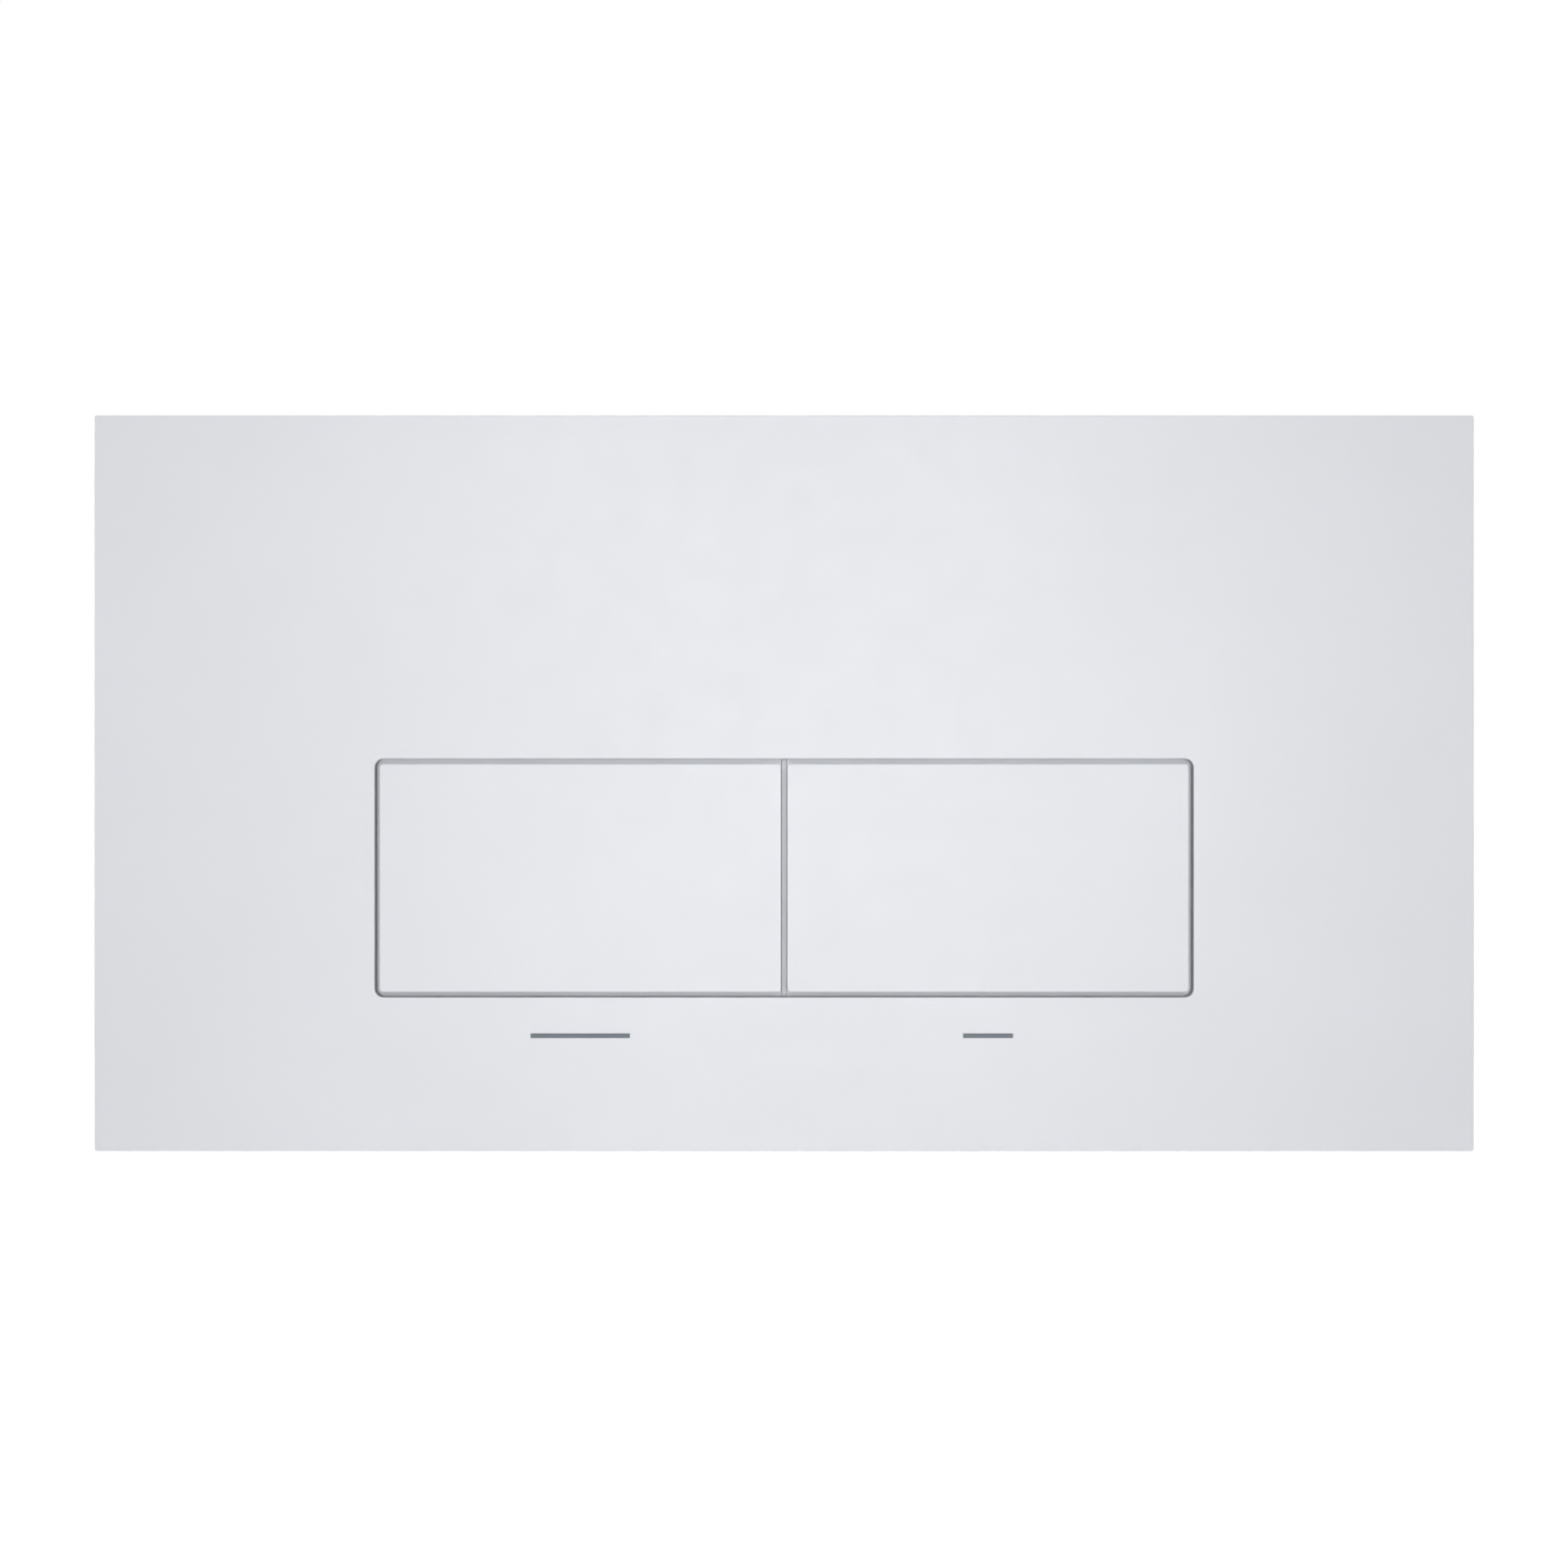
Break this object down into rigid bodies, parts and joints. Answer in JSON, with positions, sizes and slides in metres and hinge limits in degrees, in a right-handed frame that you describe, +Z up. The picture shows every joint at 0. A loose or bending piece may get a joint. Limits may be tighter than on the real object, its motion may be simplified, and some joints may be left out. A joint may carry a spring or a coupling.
{
  "type": "dual flush button plate",
  "caption": "Wide white wall plate with a full flush and a half flush button side by side in a low window, with its mounting frame, button carrier, sprung push rods and fixing studs.",
  "frame": {"origin": "the plate's centre, on the plane of the wall that the frame and the cover's rim lie on", "axes": "+X to the right seen from the room, +Y into the wall, +Z up; the plate faces -Y"},
  "size_m": [0.3, 0.0875, 0.16],
  "materials": {
    "white_plastic": "satin",
    "button_plastic": "satin",
    "mark_ink": "matt",
    "carrier_plastic": "satin",
    "frame_plastic": "matt",
    "zinc_steel": "satin",
    "black_rubber": "matt",
    "pin_steel": "polished",
    "rod_plastic": "satin",
    "cap_plastic": "satin",
    "guide_plastic": "satin",
    "spring_steel": "polished",
    "nut_plastic": "satin"
  },
  "bodies": {
    "housing": {"cover_plate": "white_plastic", "mounting_frame": "frame_plastic", "button_carrier": "carrier_plastic", "carrier_screws": "zinc_steel", "stop_pads": "black_rubber", "hinge_pin_left": "pin_steel", "hinge_pin_right": "pin_steel", "rod_guide_left": "guide_plastic", "rod_guide_right": "guide_plastic", "return_spring_left": "spring_steel", "return_spring_right": "spring_steel", "fixing_stud_left": "zinc_steel", "fixing_stud_right": "zinc_steel", "fixing_nut_left": "nut_plastic", "fixing_nut_right": "nut_plastic", "full_flush_mark": "mark_ink", "half_flush_mark": "mark_ink"},
    "full_button": {"full_flush_button": "button_plastic"},
    "half_button": {"half_flush_button": "button_plastic"},
    "full_rod": {"push_rod_left": "rod_plastic", "rod_cap_left": "cap_plastic"},
    "half_rod": {"push_rod_right": "rod_plastic", "rod_cap_right": "cap_plastic"}
  },
  "joints": [
    {"name": "full_flush_press", "type": "hinge", "parent": "housing", "child": "full_button", "pos_m": [-0.04435, -0.004, 0.00735], "axis": [1, 0, 0], "range_deg": [0, 8.8], "stiffness_Nm_per_rad": 0.6, "springref_deg": -14.32},
    {"name": "half_flush_press", "type": "hinge", "parent": "housing", "child": "half_button", "pos_m": [0.04435, -0.004, 0.00735], "axis": [1, 0, 0], "range_deg": [0, 8.8], "stiffness_Nm_per_rad": 0.6, "springref_deg": -14.32},
    {"name": "full_rod_slide", "type": "slide", "parent": "housing", "child": "full_rod", "axis": [0, 1, 0], "range_m": [0, 0.0065], "deforming": ["return_spring_left"]},
    {"name": "half_rod_slide", "type": "slide", "parent": "housing", "child": "half_rod", "axis": [0, 1, 0], "range_m": [0, 0.0065], "deforming": ["return_spring_right"]}
  ],
  "couplings": [
    {"joint": "full_rod_slide", "follows": "full_flush_press", "m_per_rad": 0.03834},
    {"joint": "half_rod_slide", "follows": "half_flush_press", "m_per_rad": 0.03834}
  ]
}
